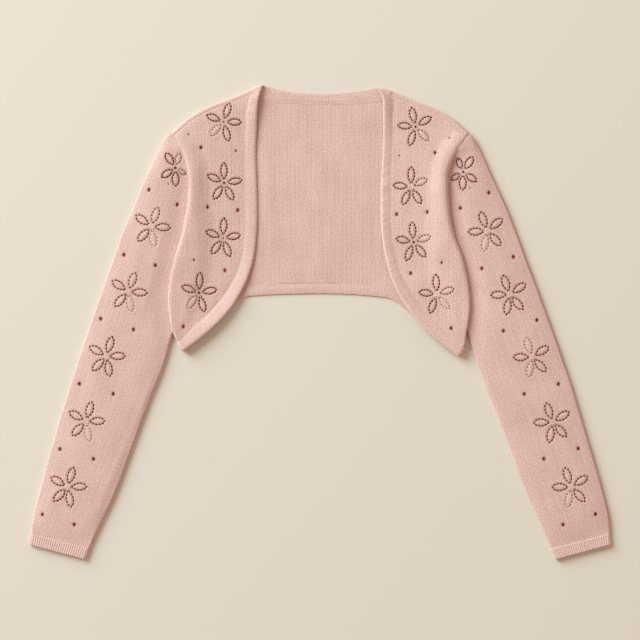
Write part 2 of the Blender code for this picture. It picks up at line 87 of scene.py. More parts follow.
def evenStations(rows, first, second, step):
    # fractional rows that lie about one step apart along the middle between two points of each row
    parts = 20
    fine = [i / parts for i in range((len(rows) - 1) * parts + 1)]
    points = []
    for t in fine:
        row = rowAt(rows, t)
        points.append((Vector(row[first:first + 2]) + Vector(row[second:second + 2])) / 2)
    lengths = [0.0]
    for a, b in zip(points, points[1:]):
        lengths.append(lengths[-1] + (b - a).length)
    count = max(round(lengths[-1] / step), 2)
    stations = []
    k = 0
    for n in range(count + 1):
        goal = lengths[-1] * n / count
        while k < len(lengths) - 2 and lengths[k + 1] < goal:
            k += 1
        share = (goal - lengths[k]) / max(lengths[k + 1] - lengths[k], 1e-9)
        stations.append(blend(fine[k], fine[k + 1], min(share, 1.0)))
    return stations


yarn = {                    # colours of the yarn: painted highlight on the stitches and painted shade between them; the yarn's own heathered tone also mixes between these
    "light": (0.900, 0.612, 0.530),
    "shade": (0.575, 0.358, 0.299),
    "edging": (0.920, 0.635, 0.551),
    "edgingShade": (0.630, 0.398, 0.333),
    # dark brown for the eyelets' walls and floors and round the holes: painted shade
    "hole": (0.345, 0.105, 0.063),
    # inside of the cloth: redder than the yarn, a painted warm shade for the hollows between the layers, seen
    # through the eyelets
    "inside": (0.950, 0.470, 0.360),
    "insideShade": (0.700, 0.310, 0.230),
    "stitchShading": (0.75, 0.15),
    "course": 1.60,         # height of one row of stitches
    "panelWale": 3.52,      # width of a column of stitches
    "edgingWale": 1.90,
    "surface": {"Roughness": 0.92, "Specular IOR Level": 0.25, "Sheen Weight": 0.22, "Sheen Roughness": 0.55},
    "weights": {"Heather": 3.0, "Cloud": 0.4, "Streak": 0.4},
}
stitch = {
    "wander": 0.9,          # how far the columns sway
    "legSlope": 1.2,
    "legDepth": 0.6,
    "loop": (0.28, 0.72),   # swing and middle of the height along a leg
    "column": (0.065, 0.20),        # the same between two columns
    "noises": {             # scale, detail, roughness
        "wander": (90.0, 2.0, 0.5),
        "Heather": (560.0, 4.0, 0.8),
        "Cloud": (26.0, 3.0, 0.5),
        "Streak": (330.0, 2.0, 0.5),
    },
    "streakScale": (1.0, 0.04, 1.0),
}


def withValues(thing, **values):
    for key, value in values.items():
        setattr(thing, key, value)
    return thing


def setInputs(node, values):
    for name, value in values.items():
        node.inputs[name].default_value = value


def addNode(tree, kind, **values):
    return withValues(tree.nodes.new(kind), **values)


def mathNode(tree, operation, *terms):
    node = addNode(tree, "ShaderNodeMath", operation=operation)
    for socket, term in zip(node.inputs, terms):
        if isinstance(term, (int, float)):
            socket.default_value = term
        else:
            tree.links.new(term, socket)
    return node.outputs[0]


def mixColour(tree, factor, first, second):
    node = addNode(tree, "ShaderNodeMix", data_type="RGBA")
    for socket, term in zip((node.inputs[0], node.inputs[6], node.inputs[7]), (factor, first, second)):
        if isinstance(term, tuple):
            socket.default_value = (*term, 1.0)
        else:
            tree.links.new(term, socket)
    return node.outputs[2]


def addNoise(tree, name, place):
    node = addNode(tree, "ShaderNodeTexNoise", noise_dimensions="2D")
    setInputs(node, dict(zip(("Scale", "Detail", "Roughness"), stitch["noises"][name])))
    tree.links.new(place, node.inputs["Vector"])
    return node.outputs[0]


def knitStitchGroup():
    # columns of small V stitches with the uneven colour of a heathered yarn
    group = bpy.data.node_groups.new("knitStitches", "ShaderNodeTree")
    for name, way, kind in (("Vector", "INPUT", "Vector"), ("Wale", "INPUT", "Float"), ("Course", "INPUT", "Float"),
                            ("Stitch", "OUTPUT", "Float"), ("Heather", "OUTPUT", "Float"),
                            ("Cloud", "OUTPUT", "Float"), ("Streak", "OUTPUT", "Float")):
        group.interface.new_socket(name=name, in_out=way, socket_type="NodeSocket" + kind)
    start = addNode(group, "NodeGroupInput")
    end = addNode(group, "NodeGroupOutput")
    place = start.outputs["Vector"]
    calc = partial(mathNode, group)
    split = addNode(group, "ShaderNodeSeparateXYZ")
    group.links.new(place, split.inputs[0])
    sway = calc("SUBTRACT", addNoise(group, "wander", place), 0.5)
    sway = calc("MULTIPLY", sway, stitch["wander"] * mm)
    across = calc("DIVIDE", calc("ADD", split.outputs[0], sway), start.outputs["Wale"])
    along = calc("DIVIDE", split.outputs[1], start.outputs["Course"])
    middle = calc("ABSOLUTE", calc("SUBTRACT", calc("FRACT", across), 0.5))
    turn = calc("MULTIPLY", middle, 2 * pi)
    slope = calc("ADD", along, calc("MULTIPLY", middle, stitch["legSlope"]))
    loop = calc("SINE", calc("MULTIPLY", slope, 2 * pi))
    loop = calc("MULTIPLY_ADD", loop, *stitch["loop"])
    loop = calc("MULTIPLY", calc("SINE", turn), loop)
    loop = calc("MULTIPLY", loop, stitch["legDepth"])
    column = calc("MULTIPLY_ADD", calc("COSINE", turn), *stitch["column"])
    group.links.new(calc("ADD", loop, column), end.inputs["Stitch"])
    stretch = addNode(group, "ShaderNodeMapping")
    stretch.inputs["Scale"].default_value = stitch["streakScale"]
    group.links.new(place, stretch.inputs[0])
    for name, vector in (("Heather", place), ("Cloud", place), ("Streak", stretch.outputs[0])):
        group.links.new(addNoise(group, name, vector), end.inputs[name])
    return group


stitches = knitStitchGroup()


def startMaterial(name, surface):
    material = bpy.data.materials.new(name)
    material.use_nodes = True
    shader = material.node_tree.nodes["Principled BSDF"]
    setInputs(shader, surface)
    return material, material.node_tree, shader


def knitMaterial(name, light, shade, wale, depth):
    # wale is the width of a column of stitches and depth their height for the bump
    material, tree, shader = startMaterial(name, yarn["surface"])
    place = addNode(tree, "ShaderNodeUVMap", uv_map="knit")
    knit = addNode(tree, "ShaderNodeGroup", node_tree=stitches)
    setInputs(knit, {"Wale": wale * mm, "Course": yarn["course"] * mm})
    tree.links.new(place.outputs[0], knit.inputs["Vector"])
    calc = partial(mathNode, tree)
    # painted shade and highlight of the stitches: the stitch height darkens the colour between the stitches and
    # lightens the columns' middles; heather, cloud and streak are the yarn's own uneven tone
    tone = calc("MULTIPLY_ADD", knit.outputs["Stitch"], *yarn["stitchShading"])
    for part, weight in yarn["weights"].items():
        tone = calc("ADD", tone, calc("MULTIPLY_ADD", knit.outputs[part], weight, -weight / 2))
    tone = calc("MINIMUM", calc("MAXIMUM", tone, 0.0), 1.0)
    colour = mixColour(tree, tone, shade, light)
    # painted shade: a vertex attribute mixes the dark hole colour into the yarn round each hole
    eyelet = addNode(tree, "ShaderNodeAttribute", attribute_name="eyelet")
    colour = mixColour(tree, eyelet.outputs["Fac"], colour, yarn["hole"])
    tree.links.new(colour, shader.inputs["Base Color"])
    bump = addNode(tree, "ShaderNodeBump")
    setInputs(bump, {"Strength": 1.0, "Distance": depth * mm})
    tree.links.new(knit.outputs["Stitch"], bump.inputs["Height"])
    tree.links.new(bump.outputs[0], shader.inputs["Normal"])
    return material


knitFinish = knitMaterial("pinkKnit", yarn["light"], yarn["shade"], yarn["panelWale"], 0.24)
edgingFinish = knitMaterial("pinkEdging", yarn["edging"], yarn["edgingShade"], yarn["edgingWale"], 0.20)
# painted warm shade on the cloth's inner side
insideShadeFinish = knitMaterial("knitInsideShaded", yarn["inside"], yarn["insideShade"], yarn["panelWale"], 0.20)
# painted shade: the eyelets' walls and floors in the dark hole colour
holeFinish = knitMaterial("eyeletWall", yarn["hole"], yarn["hole"], yarn["panelWale"], 0.10)
print("finishes made")


# the fronts: free edge and seam of the band, fold and side seam, a row for each section down to the tip
frontHeads = ("freeOut", "freeUp", "seamOut", "seamUp", "foldOut", "foldUp", "sideOut", "sideUp")
frontRows = {
    "right": (
        (77, 308, 90, 300, 193, 244, 187, 243), (81, 295, 94, 288, 188, 236, 180, 234),
        (83, 279, 97, 273, 180, 219, 170, 224), (84, 253, 98, 250, 174, 196, 162, 201),
        (85, 224, 98, 226, 173, 175, 161, 179), (84, 189, 98, 193, 176, 145, 157, 153),
        (83, 151, 98, 158, 183, 112, 151, 127), (84, 117, 98, 123, 190, 88, 148, 103),
        (88, 84, 101, 89, 196, 63, 151, 75), (98, 52, 111, 59, 200, 35, 158, 46),
        (117, 19, 129, 30, 199, 11, 166, 20), (144, -10, 154, 3, 195, -11, 174, -4),
        (179, -38, 184, -24, 189, -26, 180, -24),
    ),
    "left": (
        (77.2, 304.2, 94, 298, 193, 243, 187, 242), (83, 294, 96, 287, 187, 235, 182, 233),
        (84, 277, 95, 271, 178, 220, 172, 224), (84, 248, 95, 248, 170, 197, 165, 200),
        (83, 216, 94, 224, 169, 175, 163, 179), (81, 182, 92, 189, 171, 145, 159, 152),
        (81, 147, 92, 155, 177, 113, 153, 125), (82, 116, 93, 121, 186, 89, 150, 102),
        (87, 84, 98, 89, 193, 63, 152, 75), (98, 48, 109, 56, 197, 36, 159, 45),
        (117, 15, 129, 26, 197, 11, 167, 18), (145, -16, 155, -3, 193, -14, 176, -9),
        (181, -45, 187, -31, 192, -33, 183, -31),
    ),
}
# middle of the cloth at the free edge, at the band's seam and on the fold, then the fold's radius,
# how far the soft roll stands above the fold and how far before the side seam the cloth climbs
heightHeads = ("edgeZ", "seamZ", "foldZ", "foldRadius", "crest", "rise")
heightRows = (
    (6.6, 4.4, 8.0, 1.2, 0.0, 14),
    (8.4, 4.6, 8.9, 1.3, 0.8, 15),
    (7.4, 4.2, 9.8, 1.4, 2.0, 18),
    (4.8, 3.5, 10.4, 1.7, 2.8, 22),
    (3.6, 3.3, 10.6, 1.8, 3.0, 24),
    (3.4, 3.3, 10.6, 1.8, 3.0, 22),
    (3.5, 3.3, 10.6, 1.8, 2.6, 18),
    (3.9, 3.3, 10.6, 1.8, 2.0, 15),
    (4.6, 3.4, 10.4, 1.7, 1.4, 14),
    (6.2, 3.8, 10.4, 1.7, 0.8, 14),
    (8.2, 4.6, 10.4, 1.6, 0.4, 14),
    (9.6, 6.4, 10.4, 1.5, 0.0, 14),
    (9.4, 8.6, 9.0, 2.6, 0.0, 14),
)
shoulder = {
    "bow": ((0.0,), (6.3,), (6.6,), (2.8,), (0.0,)),     # bulge of the seam from the tip to the neck
    "bowEndRow": 2.5,       # row of the front at which the bulge has faded
    "tip": (192, 246.5),
    "wrap": 6.5,            # how far the back comes over the shoulder fold
    "wrapGap": -0.2,
    "first": 0.002,         # where along the seam the back's wrap starts, from the tip, and ends
    "last": 1.008,
    "groove": 0.32,         # depth of the seam line
    "grooveFade": 0.06,
}


def frontRow(side, t):
    return tableAt(frontHeads, frontRows[side], t)


def armholeAt(side, t):
    rows = [shoulder["tip"]] + [row[6:8] for row in frontRows[side][1:]]
    return Vector(rowAt(rows, t))


def shoulderNormal(side):
    row = frontRow(side, 0.0)
    along = (pointIn(row, "fold") - pointIn(row, "seam")).normalized()
    return Vector((-along.y, along.x))


def bowAt(u):
    last = len(shoulder["bow"]) - 1
    return rowAt(shoulder["bow"], min(u * last, last))[0]


def shoulderSeam(side, u):
    row = frontRow(side, 0.0)
    return pointIn(row, "fold").lerp(pointIn(row, "seam"), u) + shoulderNormal(side) * bowAt(u)


def creaseHeight(creases, x, y):
    # soft ridges and troughs, each from one point to another, with a width and a height
    total = 0.0
    for x0, y0, x1, y1, width, height in creases:
        line = Vector((x1 - x0, y1 - y0))
        offset = Vector((x - x0, y - y0))
        share = min(max(offset.dot(line) / line.length_squared, 0.0), 1.0)
        away = (offset - line * share).length / width
        if away < 2.5:
            total += height * exp(-away * away) * sin(pi * blend(0.08, 0.92, share))
    return total


def unevenness(x, y, size, height):
    return height * noise.noise(Vector((x / size, y / size, 3.7)))


def addCloth(bm, table):
    # table holds rows of points (x, y, z, u, v, top) in millimetres
    uv = bm.loops.layers.uv["knit"]
    top = bm.verts.layers.float["top"]
    columns, rows = len(table[0]), len(table)
    made = bmesh.ops.create_grid(bm, x_segments=columns - 1, y_segments=rows - 1, size=1.0)["verts"]
    flat = {}
    for vert in made:
        i = round((vert.co.x + 1) / 2 * (columns - 1))
        j = round((vert.co.y + 1) / 2 * (rows - 1))
        x, y, z, u, v, isTop = table[j][i]
        vert.co = Vector((x, y, z)) * mm
        vert[top] = isTop
        flat[vert] = (u * mm, v * mm)
    for face in {face for vert in made for face in vert.link_faces}:
        for loop in face.loops:
            loop[uv].uv = flat[loop.vert]


pinShapes = {
    "open": {"middle": 0.0, "depth": 2.4, "bottom": 0.06},
    "dash": {"middle": 0.40, "depth": 1.6, "bottom": 0.38},
}
pinTop = 0.60               # radius of a pin's top and bottom as shares of the hole's length and width
pinSides = 10
sharpAngle = radians(45)


def addObject(name, data):
    thing = bpy.data.objects.new(name, data)
    bpy.context.scene.collection.objects.link(thing)
    return thing


def addMesh(bm, name, finishes):
    mesh = bpy.data.meshes.new(name)
    bm.to_mesh(mesh)
    bm.free()
    for finish in finishes:
        mesh.materials.append(finish)
    return addObject(name, mesh)


def startPiece(*tables):
    bm = bmesh.new()
    bm.loops.layers.uv.new("knit")
    bm.verts.layers.float.new("eyelet")
    bm.verts.layers.float.new("top")
    for table in tables:
        addCloth(bm, table)
    return bm


def cutEyelets(piece, pins):
    # pins: x, y, height, angle, length, width and kind of each hole, in one cutter;
    # an open hole goes through the cloth and a dash ends on the yarn inside it;
    # the cut walls and a dash's floor take the dark hole colour as painted shade
    bm = bmesh.new()
    for x, y, z, angle, length, width, kind in pins:
        shape = pinShapes[kind]
        place = Matrix.Translation(Vector((x, y, z + shape["middle"])) * mm) @ Matrix.Rotation(angle, 4, "Z")
        place = place @ Matrix.Diagonal((length * mm, width * mm, shape["depth"] * mm, 1.0))
        bmesh.ops.create_cone(bm, cap_ends=True, segments=pinSides, radius1=shape["bottom"], radius2=pinTop,
                              depth=1.0, matrix=place)
    cutter = addMesh(bm, "eyeletPins", [holeFinish])
    withValues(piece.modifiers.new("eyelets", "BOOLEAN"), operation="DIFFERENCE", solver="MANIFOLD",
               material_mode="TRANSFER", object=cutter)
    bpy.context.view_layer.update()
    shell = piece.data
    piece.data = bpy.data.meshes.new_from_object(piece.evaluated_get(bpy.context.evaluated_depsgraph_get()))
    piece.modifiers.clear()
    bpy.data.meshes.remove(shell)
    bpy.data.meshes.remove(cutter.data)
    piece.data.set_sharp_from_angle(angle=sharpAngle)


def finishPiece(bm, name, nodes, finishes, shell=cloth["shell"], merge=0.0, pins=()):
    if merge:
        bmesh.ops.remove_doubles(bm, verts=bm.verts, dist=merge * mm)
    bmesh.ops.recalc_face_normals(bm, faces=bm.faces)
    highest = max(bm.faces, key=lambda face: face.calc_center_median().z)
    if highest.normal.z < 0:
        bmesh.ops.reverse_faces(bm, faces=bm.faces)
    for face in bm.faces:
        face.smooth = True
    piece = addMesh(bm, name, finishes)
    withValues(piece.modifiers.new("knitWall", "SOLIDIFY"), thickness=shell * mm, offset=0.0,
               use_even_offset=False, material_offset=len(finishes) - 1)
    if pins:
        cutEyelets(piece, pins)
    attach(piece, "root")
    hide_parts(*nodes)
    return piece


flower = {
    "base": 4.6,            # a petal starts this far from the centre
    "belly": 0.52,          # where along it a petal is widest
    "spacing": 0.187,       # between the eyelets along a petal's outline, as a share of its length
    "dash": (4.00, 2.00),    # length and width of a small eyelet
    "tip": (3.3, 2.7),
    "tipBack": 1.2,
    "pointed": 1.15,
    "outlineSteps": 48,
    "puff": 0.45,           # how far a petal's middle swells
    # ridges and troughs: height, distance from the outline or the flower's centre, width
    "groove": (0.42, 0.0, 1.5),
    "rim": (0.20, 3.0, 1.4),
    "well": (0.35, 0.0, 2.6),       # round an open centre
    "knot": (0.50, 2.5, 1.1),       # raised ring of a closed centre
    "knotMiddle": (0.50, 0.0, 1.1),
    "shadeRoundHole": 0.35,           # painted shade round a hole
}
singleEyelet = {"length": 5.6, "width": 4.5, "dip": 0.5, "dipWidth": 3.4}


def ridge(x, height, place, width):
    return height * exp(-((x - place) / width) ** 2)


def petalHalf(share, width):
    if share <= 0.0 or share >= 1.0:
        return 0.0
    belly = flower["belly"]
    if share < belly:
        return width / 2 * sin(pi / 2 * share / belly)
    return width / 2 * sqrt(1.0 - ((share - belly) / (1.0 - belly)) ** 2) ** flower["pointed"]


def petalOutline(petal, sign):
    points = []
    for k in range(flower["outlineSteps"] + 1):
        share = k / flower["outlineSteps"]
        along = blend(flower["base"], petal["length"] - 1.0, share)
        points.append(Vector((along, sign * petalHalf(share, petal["width"]))))
    return points


def outlineStops(points):
    # places and directions along an outline, measured back from the petal's tip
    stops = []
    gone = 0.0
    spacing = flower["spacing"] * sum((b - a).length for a, b in zip(points, points[1:]))
    goal = spacing
    for a, b in zip(points[::-1], points[-2::-1]):
        step = (b - a).length
        while gone + step >= goal:
            place = a.lerp(b, (goal - gone) / step)
            stops.append((place, atan2((b - a).y, (b - a).x)))
            goal += spacing
        gone += step
    return stops


def topTree(bm):
    top = bm.verts.layers.float["top"]
    spots = [vert for vert in bm.verts if vert[top] > 0.5]
    tree = kdtree.KDTree(len(spots))
    for k, vert in enumerate(spots):
        tree.insert((vert.co.x, vert.co.y, 0.0), k)
    tree.balance()
    return tree, spots


def petalsOf(angles, lengths, faint, part):
    # faint: for some petals, how small their eyelets are
    petals = []
    for number, degrees in enumerate(angles):
        angle = radians(degrees)
        axis = Vector((cos(angle), sin(angle)))
        reach = part["reach"]
        length = lengths[number] if lengths else 1 / hypot(axis.x / reach[0], axis.y / reach[1])
        petals.append({"angle": angle, "axis": axis, "aside": Vector((-axis.y, axis.x)), "length": length,
                       "width": part["petal"] * min(length / reach[0], 1.0), "size": faint.get(number, 1.0)})
    return petals


def shapeFlower(tree, spots, centre, petals, opened, levels):
    # swells the petals and presses their outlines into the cloth
    outline = kdtree.KDTree(len(petals) * 2 * (flower["outlineSteps"] + 1))
    for petal in petals:
        for sign in (-1, 1):
            for point in petalOutline(petal, sign):
                spot = petal["axis"] * point.x + petal["aside"] * point.y
                outline.insert((spot.x, spot.y, 0.0), 0)
    outline.balance()
    reach = max(petal["length"] for petal in petals) + 6.0
    for _, index, _ in tree.find_range((centre.x * mm, centre.y * mm, 0.0), reach * mm):
        vert = spots[index]
        offset = Vector((vert.co.x, vert.co.y)) / mm - centre
        away = outline.find((offset.x, offset.y, 0.0))[2]
        inside = 0.0
        for petal in petals:
            share = (offset.dot(petal["axis"]) - flower["base"]) / (petal["length"] - 1.0 - flower["base"])
            half = petalHalf(share, petal["width"])
            if half > 0.0:
                inside = max(inside, 1.0 - abs(offset.dot(petal["aside"])) / half)
        rise = flower["puff"] * smoothStep(inside * 1.5) - ridge(away, *flower["groove"])
        if inside <= 0.0:
            rise += ridge(away, *flower["rim"])
        if opened:
            rise -= ridge(offset.length, *flower["well"])
        else:
            rise += ridge(offset.length, *flower["knot"]) - ridge(offset.length, *flower["knotMiddle"])
        levels[index] = levels.get(index, 0.0) + rise


def pointelle(bm, part, side):
    # shapes the cloth around the flowers and single eyelets, paints shade round each hole into a vertex attribute
    # and returns the pins that cut them
    tree, spots = topTree(bm)
    shadeMark = bm.verts.layers.float["eyelet"]
    levels = {}
    holes = []
    for x, y, *sizes in part["eyelets"][side]:
        size = sizes[0] if sizes else 1.0
        holes.append((x, y, pi / 2, singleEyelet["length"] * size, singleEyelet["width"] * size, "open"))
        for _, index, away in tree.find_range((x * mm, y * mm, 0.0), 3 * singleEyelet["dipWidth"] * mm):
            press = ridge(away / mm, singleEyelet["dip"] * size, 0.0, singleEyelet["dipWidth"])
            levels[index] = levels.get(index, 0.0) - press
    for x, y, angles, centreSize, faint, *lengths in part["flowers"][side]:
        centre = Vector((x, y))
        petals = petalsOf(angles, lengths, faint, part)
        shapeFlower(tree, spots, centre, petals, centreSize > 0, levels)
        if centreSize:
            holes.append((x, y, pi / 2, centreSize * 1.1, centreSize, "open"))
        for petal in petals:
            length, wide = flower["tip"]
            size = petal["size"]
            tip = centre + petal["axis"] * (petal["length"] - flower["tipBack"])
            holes.append((tip.x, tip.y, petal["angle"], length * size, wide * size, "dash"))
            length, wide = flower["dash"]
            for sign in (-1, 1):
                for place, heading in outlineStops(petalOutline(petal, sign)):
                    spot = centre + petal["axis"] * place.x + petal["aside"] * place.y
                    holes.append((spot.x, spot.y, heading + petal["angle"], length * size, wide * size, "dash"))
    for index, rise in levels.items():
        spots[index].co.z += rise * mm
    pins = []
    for x, y, angle, length, width, kind in holes:
        nearest = spots[tree.find((x * mm, y * mm, 0.0))[1]]
        pins.append((x, y, nearest.co.z / mm, angle, length, width, kind))
        # painted shade round the hole, stored per vertex
        reach = length / 2 + 0.6
        for _, index, away in tree.find_range((x * mm, y * mm, 0.0), 2 * reach * mm):
            shadeRoundHole = flower["shadeRoundHole"] * exp(-(away / mm / reach) ** 4)
            spots[index][shadeMark] = max(spots[index][shadeMark], shadeRoundHole)
    return pins


frontPanel = {
    "topColumns": 74,
    "foldColumns": 7,
    "returnColumns": 8,
    "rowStep": 1.25,
    "lean": 0.62,           # share of the climb that is spread over the whole width
    "seamPass": {"right": 16.0, "left": 12.0},   # how far past the side seam the climb ends
    "rollWidth": 9.0,       # from the crest of the soft roll to the fold
    "crestShare": {"right": 0.50, "left": 0.85},
    "moreRise": {"right": -3.0, "left": 2.0},
    "sideFlat": 1.0,
    "sideDrop": 4.5,
    "underarmRow": 13,      # twice the row at which the tucked side starts to fall
    "tipClear": 0.05,
    "tipFade": (4, 20),     # creases fade out where a front is narrow and beside its seam
    "seamFade": 8,
    "uneven": (26, 0.28),   # size and height of the cloth's gentle unevenness
    "neckGroove": (0.16, 6),
    "returnCurve": 1.8,
    "petal": 8.2,           # width of a petal
    "reach": (23.9, 27.0),  # length of a petal sideways and up or down
    "creases": {            # x, y to x, y, width, height
        "right": ((-172, 66, -150, 30, 9, 0.5), (-120, 60, -150, 20, 10, 0.45),
                  (-118, 250, -112, 150, 12, 0.35), (-184, 30, -186, -4, 6, -0.4)),
        "left": ((128, 230, 124, 110, 10, -0.35), (160, 84, 168, 30, 10, -0.5),
                 (118, 70, 148, 18, 10, 0.45), (186, 30, 188, -10, 6, -0.35)),
    },
    "flowers": {            # x, y, petal angles, centre hole, size of faint petals' eyelets, lengths
        "right": (
            (-126.7, 262.8, (72, -1, -75, 227, 158), 2.4, {3: 0.5}),
            (-126.1, 182.4, (90, 9, -62, 238, 154), 3.5, {}),
            (-127.6, 109.7, (86, 10, -69, 235, 157), 2.4, {}),
            (-158.9, 37.6, (87, 11, -74, 234, 159), 3.5, {3: 0.5}),
        ),
        "left": (
            (126.1, 256.3, (102, 32, -47, 252, 175), 3.5, {2: 0.7}),
            (120.1, 177.1, (89, 26, -59, 245, 174), 0.0, {1: 0.75}),
            (123.4, 104.4, (94, 19, -51, 249, 168), 3.5, {1: 0.75}),
            (154.0, 35.4, (93, 19, -49, 250, 172), 0.0, {1: 0.75, 2: 0.5}),
        ),
    },
    "eyelets": {            # x, y and for a small one its size
        "right": ((-156.3, 228.9), (-110.7, 224.8, 0.65), (-148.0, 150.6), (-108.1, 146.5),
                  (-165.5, 80.9, 0.7), (-125.0, 67.3), (-179.4, -6.7), (-172.9, 246.6, 0.5)),
        "left": ((151.5, 222.0), (104.9, 218.6, 0.5), (141.2, 144.0), (101.1, 141.2),
                 (159.9, 77.2, 0.8), (119.5, 63.5), (172.7, -9.0), (170.0, 241.6, 0.5)),
    },
}


def frontSection(side, t):
    # across a front: over the top, round the fold and back to the side seam
    row = frontRow(side, t)
    height = tableAt(heightHeads, heightRows, t)
    drop = smoothStep(2 * t - frontPanel["underarmRow"])
    start, fold, end = (pointIn(row, name) for name in ("seam", "fold", "side"))
    across = (fold - start).normalized()
    start += across * cloth["gap"] / 2
    width = (fold - start).length
    radius = height["foldRadius"]
    flat = width - cloth["panelWall"] / 2 - radius
    seamAt = (end - start).dot(across)
    riseFrom = seamAt - height["rise"] - frontPanel["moreRise"][side]
    crest = height["crest"] * frontPanel["crestShare"][side]
    riseTo = min(seamAt + frontPanel["seamPass"][side], flat)
    crestAt = max(flat - frontPanel["rollWidth"], flat / 2)
    sign = sideSign[side]
    creases = frontPanel["creases"][side]
    points = []
    narrow, fadeWidth = frontPanel["tipFade"]
    tipFade = smoothStep((flat - narrow) / fadeWidth)
    grooveRows, grooveWidth = frontPanel["neckGroove"]

    def add(plan, z, lengthAlong, isTop):
        unfolded = start + across * lengthAlong
        x, y = sign * plan.x, plan.y
        if isTop:
            fade = tipFade * smoothStep(lengthAlong / frontPanel["seamFade"])
            z += fade * (creaseHeight(creases, x, y) + unevenness(x, y, *frontPanel["uneven"]))
        points.append((x, y, z, sign * unfolded.x, unfolded.y, isTop))

    columns = frontPanel["topColumns"]
    for k in range(columns + 1):
        a = flat * k / columns
        climb = smoothStep((a - riseFrom) / max(riseTo - riseFrom, 1.0))
        climb = blend(climb, a / flat, frontPanel["lean"])
        roll = smoothStep((a - riseFrom) / max(crestAt - riseFrom, 1.0))
        if a > crestAt:
            roll = sqrt(max(1 - ((a - crestAt) / (flat - crestAt)) ** 2, 0.0))
        z = blend(height["seamZ"], height["foldZ"], climb) + crest * roll
        z -= shoulder["groove"] * (1 - smoothStep(t / grooveRows)) * smoothStep(a / grooveWidth)
        bow = shoulderNormal(side) * bowAt(1 - a / width) * smoothStep(1 - t / shoulder["bowEndRow"])
        add(start + across * a + bow, z, a, 1.0)
    lift = points[-1][2] - height["foldZ"]
    bends = frontPanel["foldColumns"]
    for k in range(1, bends + 1):
        angle = pi * k / bends
        z = height["foldZ"] - radius + radius * cos(angle) + lift * (1 - k / bends)
        add(start + across * (flat + radius * sin(angle)), z, flat + radius * angle, 0.0)
    underZ = height["foldZ"] - 2 * radius
    begin = start + across * flat
    length = (begin - end).length
    turned = flat + radius * pi
    count = frontPanel["returnColumns"]
    for k in range(1, count + 1):
        stop = (1 - k / count) ** frontPanel["returnCurve"]
        fall = drop * (1 - smoothStep((length * stop - frontPanel["sideFlat"]) / frontPanel["sideDrop"]))
        z = blend(underZ, cloth["floor"], fall)
        add(end.lerp(begin, stop), z, turned + length * (1 - stop), 0.0)
    return points


def makeFront(side):
    stations = evenStations(frontRows[side], 2, 4, frontPanel["rowStep"])
    stations = [min(t, len(heightRows) - 1 - frontPanel["tipClear"]) for t in stations]
    bm = startPiece([frontSection(side, t) for t in stations])
    pins = pointelle(bm, frontPanel, side)
    piece = finishPiece(bm, side + "Front", ["front_" + side], [knitFinish, insideShadeFinish], pins=pins)


frontBand = {
    "shares": (0.0, 0.07, 0.15, 0.27, 0.41, 0.55, 0.68, 0.79, 0.86, 0.92, 0.96, 0.985, 1.0),
    "width": 15.0,
    "rib": 1.85,            # along the band, from one cross rib to the next
    "ribHeight": 0.18,
    "crown": 0.45,
    "rollSteps": 16,
    "edgeRoll": (0.79, 1.1),       # where the rolled free edge starts and how far it falls
    # how far an end rolls over, the share of it at the free edge, the bulge between, and the lean
    # of the free edge's corner towards the centre line
    "shoulderWrap": {"right": (6.3, 0.75, 0.0, 0.85), "left": (6.3, 0.90, 0.0, 0.95)},
    "tipWrap": (5.2, 0.45, 0.30, 0.0),
    "link": (2.2, 0.60, 0.20),     # linking stitches: pitch, width and height
}


def linkTable(path):
    # a line of small raised stitches along a path of points
    pitch, width, height = frontBand["link"]
    spots = [path[0]]
    for point in path[1:]:
        while (point - spots[-1]).length > pitch / 5:
            spots.append(spots[-1] + (point - spots[-1]).normalized() * pitch / 5)
    table = []
    for j, spot in enumerate(spots):
        ahead = spots[min(j + 1, len(spots) - 1)] - spots[max(j - 1, 0)]
        aside = Vector((-ahead.y, ahead.x, 0.0)).normalized()
        swell = 0.45 + 0.55 * abs(sin(pi * j / 5))
        line = []
        for i in range(5):
            angle = pi * i / 4
            point = spot + aside * cos(angle) * width * swell
            z = point.z + height * swell * sin(angle)
            line.append((point.x, point.y, z, i * 0.6, j * 0.5, 1.0))
        table.append(line)
    return table


def ribHeight(share, along):
    # cross ribs along an edging, faded out at its two edges
    fade = smoothStep(min(share, 1 - share) * 6)
    return fade * frontBand["ribHeight"] * cos(2 * pi * along / frontBand["rib"])


def bandCrown(share):
    return frontBand["crown"] * (1 - abs(2 * share - 1) ** 3)


def bandRow(side, t):
    row = frontRow(side, t)
    height = tableAt(heightHeads, heightRows, t)
    free, seam = pointIn(row, "free"), pointIn(row, "seam")
    seam += (free - seam).normalized() * cloth["gap"] / 2
    return (seam, height["seamZ"]), (free, height["edgeZ"])


def tipNormal(side):
    row = frontRow(side, len(heightRows) - 1)
    along = (pointIn(row, "seam") - pointIn(row, "free")).normalized()
    return Vector((along.y, -along.x))


def rollPoint(point, z, outward, reach, squash, share):
    # share 0 is on top, 1 the end of the roll on the ground
    floor = cloth["bandWall"] / 2
    radius = (z - floor) / 2
    run = max(reach - radius - cloth["bandWall"] / 2, 0.0)
    gone = (run + pi * radius) * share
    if gone < run:
        return point + outward * gone * squash, z
    angle = (gone - run) / radius
    go = (run + radius * sin(angle)) * squash
    return point + outward * go, z - radius + radius * cos(angle)


